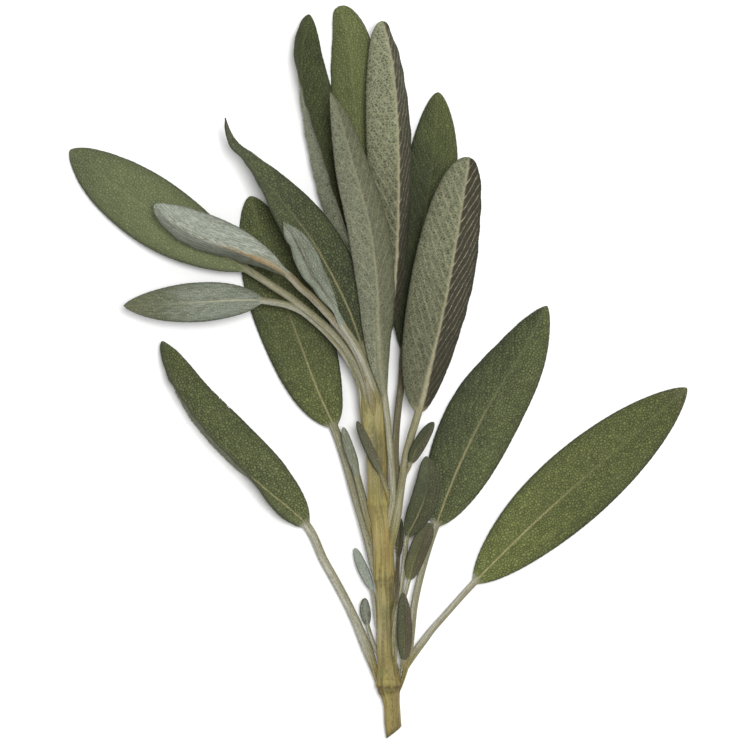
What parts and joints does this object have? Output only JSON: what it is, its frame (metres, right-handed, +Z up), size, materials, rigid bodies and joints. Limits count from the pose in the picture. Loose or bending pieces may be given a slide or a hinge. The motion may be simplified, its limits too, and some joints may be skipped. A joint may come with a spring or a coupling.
{
  "type": "sage sprig",
  "caption": "Cut sprig of garden sage lying flat: a square woody stem with stalked opposite leaves, two side shoots and small leaves in the axils.",
  "frame": {"origin": "on the surface the sprig lies on, under the middle of its overall box", "axes": "+Z up from the surface it lies on, -Y towards the stem's cut end, +Y towards the leaf tips, +X to the right seen from above"},
  "size_m": [0.1548, 0.1827, 0.0187],
  "materials": {
    "stem": "dull, lengthwise fibres",
    "shoot": "dull, finely downy",
    "leaf": "matt, pebbled, finely downy",
    "leaf_underside": "matt, felted, netted with raised veins",
    "young_leaf": "matt, silvery down"
  },
  "bodies": {
    "root": {"main_stem": "stem", "left_shoot": "shoot", "upper_shoot": "shoot", "leaf_low_left": "leaf", "leaf_low_right": "leaf", "leaf_mid_left": "leaf", "leaf_mid_right": "leaf", "leaf_far_left": "leaf", "leaf_curled_tip": "leaf", "leaf_top_1": "leaf", "leaf_top_2": "leaf", "leaf_top_3": "leaf_underside", "leaf_top_4": "leaf_underside", "leaf_top_5": "leaf", "leaf_top_6": "leaf_underside", "young_leaf_left": "young_leaf", "young_leaf_folded": "young_leaf", "young_leaf_upper": "young_leaf", "axil_leaf_1": "leaf", "axil_leaf_2": "leaf", "axil_leaf_3": "leaf", "axil_leaf_4": "leaf", "axil_leaf_5": "leaf", "axil_leaf_6": "leaf", "axil_leaf_7": "leaf", "axil_leaf_8": "leaf", "axil_leaf_9": "leaf"}
  },
  "joints": []
}
